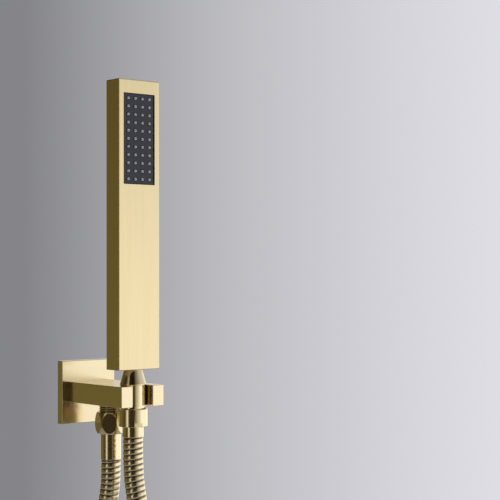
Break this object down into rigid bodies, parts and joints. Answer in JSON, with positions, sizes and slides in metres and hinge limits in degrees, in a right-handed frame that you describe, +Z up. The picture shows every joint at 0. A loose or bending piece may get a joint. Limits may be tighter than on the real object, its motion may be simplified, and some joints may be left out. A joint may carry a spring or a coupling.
{
  "type": "wall-mounted bar hand shower with outlet bracket",
  "caption": "Square-section bar handset parked in a forked wall bracket that is also its water outlet, with a spiral metal hose hanging in a coil.",
  "frame": {"origin": "centre of the wall flange's back face, on the wall plane", "axes": "+X to the right as you face the wall, +Y into the wall, +Z up; the spray faces -Y"},
  "size_m": [0.221, 0.1081, 0.6397],
  "materials": {
    "satin_gold": "brushed satin gold",
    "gold_hose": null,
    "raw_brass": "turned, unplated",
    "stainless_steel": "plain",
    "charcoal_plastic": "fine matt",
    "white_plastic": "natural",
    "grey_silicone": "matt",
    "black_rubber": "matt"
  },
  "bodies": {
    "bracket": {"wall_flange": "satin_gold", "wall_seal": "black_rubber", "inlet_nipple": "raw_brass", "nipple_o_ring_rear": "black_rubber", "nipple_o_ring_front": "black_rubber", "arm_body": "satin_gold", "arm_set_screw": "stainless_steel", "outlet_nipple": "satin_gold", "check_valve_body": "white_plastic", "check_valve_spring": "stainless_steel", "outlet_washer": "black_rubber", "outlet_insert": "raw_brass", "outlet_sleeve": "satin_gold", "hose_leg_outlet": "gold_hose", "hose_leg_handset": "gold_hose", "hose_coil": "gold_hose", "hose_tie": "black_rubber"},
    "check_poppet": {"check_valve_poppet": "black_rubber"},
    "outlet_nut": {"outlet_nut": "satin_gold"},
    "hose_end": {"handset_insert": "raw_brass", "handset_ferrule": "satin_gold"},
    "handset": {"handset_washer": "black_rubber", "tail_spigot": "satin_gold", "tail_o_ring": "black_rubber", "flow_restrictor": "white_plastic", "tail_lock_nut": "raw_brass", "handset_shell": "satin_gold", "water_tube": "white_plastic", "spray_tray": "white_plastic", "tray_gasket": "black_rubber", "nozzle_mat": "grey_silicone", "spray_plate": "charcoal_plastic"},
    "handset_nut": {"handset_nut": "satin_gold"}
  },
  "joints": [
    {"name": "handset_release", "type": "slide", "parent": "bracket", "child": "hose_end", "axis": [0, -1, 0], "range_m": [0, 0.04]},
    {"name": "handset_turn", "type": "hinge", "parent": "hose_end", "child": "handset", "pos_m": [0, -0.0745, 0], "axis": [0, 0, 1], "continuous": true},
    {"name": "handset_nut_turn", "type": "hinge", "parent": "handset", "child": "handset_nut", "pos_m": [0, -0.0745, -0.018], "axis": [0, 0, 1], "continuous": true},
    {"name": "outlet_nut_turn", "type": "hinge", "parent": "bracket", "child": "outlet_nut", "pos_m": [0, -0.0414, -0.025], "axis": [0, 0, 1], "continuous": true},
    {"name": "check_valve_open", "type": "slide", "parent": "bracket", "child": "check_poppet", "axis": [0, 0, -1], "range_m": [0, 0.0025], "stiffness_N_per_m": 60, "springref_m": -0.001, "deforming": ["check_valve_spring"]}
  ]
}
